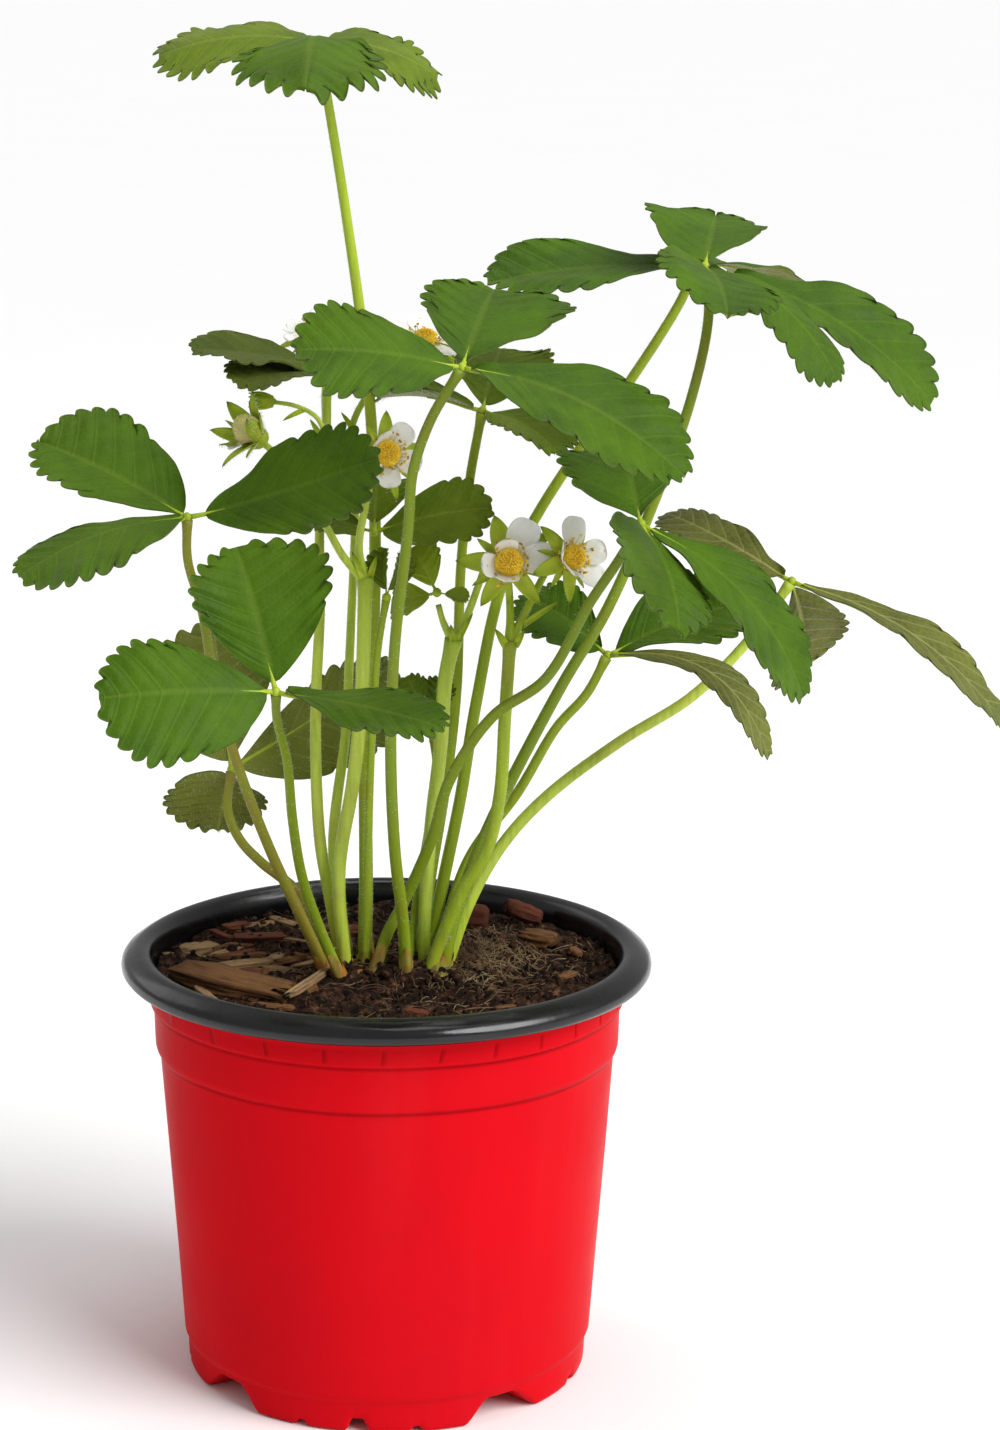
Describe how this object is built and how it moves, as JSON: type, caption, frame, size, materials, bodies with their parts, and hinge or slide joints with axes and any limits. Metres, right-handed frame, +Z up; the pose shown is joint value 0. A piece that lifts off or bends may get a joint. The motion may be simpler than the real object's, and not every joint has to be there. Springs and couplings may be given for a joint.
{
  "type": "potted strawberry plant",
  "caption": "Strawberry plant in flower, growing in dark peat and bark in a red round nursery pot with a black rolled rim.",
  "frame": {"origin": "middle of the pot's foot, on the ground", "axes": "+Z up along the pot's axis, -Y towards the viewer of the picture, +X to the viewer's right, right handed"},
  "size_m": [0.2343, 0.1357, 0.3294],
  "materials": {
    "pot_red": "smooth moulded, soft shine",
    "soil_peat": "rough, fibrous",
    "bark_chip": "rough, split",
    "crown_brown": "dry, papery",
    "stalk_green": "soft, finely hairy",
    "leaf_green": "satin, veined",
    "sepal_green": "soft, finely hairy",
    "petal_white": "silky",
    "anther_yellow": "powdery",
    "berry_unripe": "dull, seeded"
  },
  "bodies": {
    "root": {"pot": "pot_red", "leaf_stalk_top": "stalk_green", "leaf_blade_top": "leaf_green", "leaf_stalk_upper_right": "stalk_green", "leaf_blade_upper_right": "leaf_green", "leaf_stalk_back_right": "stalk_green", "leaf_blade_back_right": "leaf_green", "leaf_stalk_centre": "stalk_green", "leaf_blade_centre": "leaf_green", "leaf_stalk_centre_back": "stalk_green", "leaf_blade_centre_back": "leaf_green", "leaf_stalk_left": "stalk_green", "leaf_blade_left": "leaf_green", "leaf_stalk_front_left": "stalk_green", "leaf_blade_front_left": "leaf_green", "leaf_stalk_low_left": "stalk_green", "leaf_blade_low_left": "leaf_green", "leaf_stalk_front_right": "stalk_green", "leaf_blade_front_right": "leaf_green", "leaf_stalk_right": "stalk_green", "leaf_blade_right": "leaf_green", "leaf_stalk_mid_right": "stalk_green", "leaf_blade_mid_right": "leaf_green", "shoot_stalk_young": "stalk_green", "shoot_blade_young": "leaf_green", "shoot_stalk_pointed": "stalk_green", "shoot_blade_pointed": "leaf_green", "bract_blade_back_left": "leaf_green", "bract_blade_left": "leaf_green", "bract_blade_centre": "leaf_green", "flower_stalk_left": "stalk_green", "flower_stalk_back_left": "stalk_green", "flower_stalk_back": "stalk_green", "flower_stalk_centre": "stalk_green", "flower_stalk_right": "stalk_green", "flower_calyx_front": "sepal_green", "flower_petals_front": "petal_white", "flower_centre_front": "anther_yellow", "flower_calyx_right": "sepal_green", "flower_petals_right": "petal_white", "flower_centre_right": "anther_yellow", "flower_calyx_centre": "sepal_green", "flower_petals_centre": "petal_white", "flower_centre_centre": "anther_yellow", "flower_calyx_back_left": "sepal_green", "flower_petals_back_left": "petal_white", "flower_centre_back_left": "anther_yellow", "flower_calyx_back": "sepal_green", "flower_petals_back": "petal_white", "flower_centre_back": "anther_yellow", "fruit_calyx": "sepal_green", "fruit_young": "berry_unripe", "crown": "crown_brown", "bark_long": "bark_chip", "bark_sliver": "bark_chip", "bark_left": "bark_chip", "bark_block": "bark_chip", "bark_right": "bark_chip", "bark_shard": "bark_chip", "soil": "soil_peat"}
  },
  "joints": []
}
